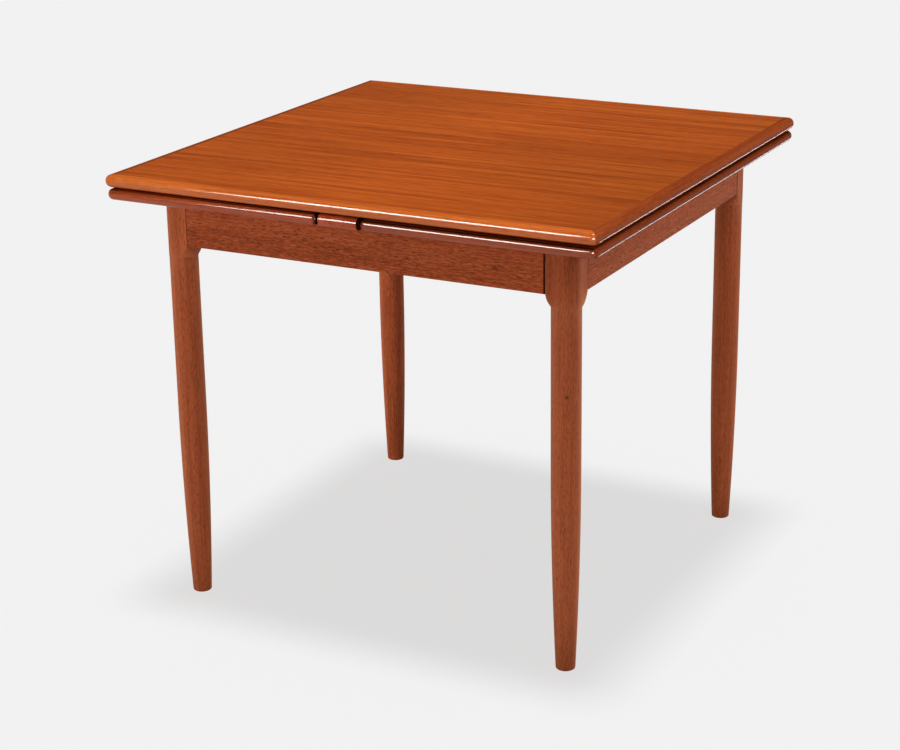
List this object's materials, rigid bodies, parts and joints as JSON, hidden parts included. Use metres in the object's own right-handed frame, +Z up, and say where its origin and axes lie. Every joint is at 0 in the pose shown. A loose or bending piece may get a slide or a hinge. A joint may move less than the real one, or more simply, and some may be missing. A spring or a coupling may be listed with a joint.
{
  "type": "draw-leaf dining table",
  "caption": "Square wooden dining table with tapered round legs, a loose top and draw leaves under it that slide out on tapered bearers.",
  "frame": {"origin": "on the floor under the middle of the table", "axes": "+X the way the right leaf is drawn, front towards -Y, +Z up"},
  "size_m": [0.85, 0.85, 0.73],
  "materials": {
    "teak_veneer": "satin lacquer",
    "teak": "satin lacquer",
    "beech": "bare, planed",
    "steel": "plain",
    "felt": "matt felt"
  },
  "bodies": {
    "frame": {"back_apron": "teak", "back_left_corner_block": "beech", "back_left_leg": "teak", "back_right_corner_block": "beech", "back_right_leg": "teak", "centre_board": "teak", "centre_board_screws": "steel", "centre_rail": "beech", "corner_block_screws": "steel", "front_apron": "teak", "front_left_corner_block": "beech", "front_left_leg": "teak", "front_right_corner_block": "beech", "front_right_leg": "teak", "keeper_screws": "steel", "left_apron": "teak", "left_keeper": "beech", "right_apron": "teak", "right_keeper": "beech"},
    "right_leaf": {"right_leaf_back_bearer": "beech", "right_leaf_back_lipping": "teak", "right_leaf_bearer_screws": "steel", "right_leaf_front_bearer": "beech", "right_leaf_front_lipping": "teak", "right_leaf_inner_lipping": "teak", "right_leaf_outer_lipping": "teak", "right_leaf_panel": "teak_veneer", "right_leaf_stop_pegs": "beech"},
    "left_leaf": {"left_leaf_back_bearer": "beech", "left_leaf_back_lipping": "teak", "left_leaf_bearer_screws": "steel", "left_leaf_front_bearer": "beech", "left_leaf_front_lipping": "teak", "left_leaf_inner_lipping": "teak", "left_leaf_outer_lipping": "teak", "left_leaf_panel": "teak_veneer", "left_leaf_stop_pegs": "beech"},
    "top_rest": {"right_felt_strip": "felt"},
    "top": {"left_felt_strip": "felt", "top_back_lipping": "teak", "top_front_lipping": "teak", "top_guide_dowels": "beech", "top_left_lipping": "teak", "top_panel": "teak_veneer", "top_right_lipping": "teak"}
  },
  "joints": [
    {"name": "right_leaf_draw", "type": "slide", "parent": "frame", "child": "right_leaf", "axis": [0.9983, 0, 0.0575], "range_m": [0, 0.358]},
    {"name": "left_leaf_draw", "type": "slide", "parent": "frame", "child": "left_leaf", "axis": [-0.9983, 0, 0.0575], "range_m": [0, 0.358]},
    {"name": "top_tilt_right", "type": "hinge", "parent": "frame", "child": "top_rest", "pos_m": [-0.41, 0, 0.7075], "axis": [0, -1, 0], "range_deg": [0, 1.5]},
    {"name": "top_tilt_left", "type": "hinge", "parent": "top_rest", "child": "top", "pos_m": [0.41, 0, 0.7075], "axis": [0, 1, 0], "range_deg": [0, 1.5]}
  ],
  "couplings": [
    {"joint": "top_tilt_right", "follows": "right_leaf_draw", "rad_per_m": 0.0709},
    {"joint": "top_tilt_left", "follows": "left_leaf_draw", "rad_per_m": 0.0709}
  ]
}
